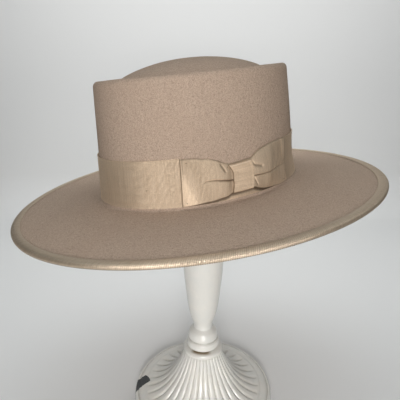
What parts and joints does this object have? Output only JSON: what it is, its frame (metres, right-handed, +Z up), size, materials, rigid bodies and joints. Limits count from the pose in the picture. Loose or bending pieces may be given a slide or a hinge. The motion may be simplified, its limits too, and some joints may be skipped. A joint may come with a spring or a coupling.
{
  "type": "wide-brimmed felt hat with a telescope crown on a turned display stand",
  "caption": "Wool-felt hat with a telescope crown, flat wide bound brim, ribbon band and flat bow, leaning on a plain turned stand with a fluted round base.",
  "frame": {"origin": "centre of the flat underside of the stand's base, on the surface that it stands on", "axes": "+Z up along the stand's stem; the hat leans on the stand's head with its bow towards -Y and the wearer's front towards -X and -Y"},
  "size_m": [0.3622, 0.3447, 0.3965],
  "materials": {
    "felt": "matt wool felt, fine fibrous nap",
    "ribbon": "ribbed grosgrain with a slight sheen",
    "stand_paint": "off-white satin paint on turned wood"
  },
  "bodies": {
    "root": {"felt_body": "felt", "hat_band": "ribbon", "brim_binding": "ribbon", "bow_ribbon": "ribbon", "bow_knot": "ribbon", "stand_base": "stand_paint", "stand_stem": "stand_paint"}
  },
  "joints": []
}
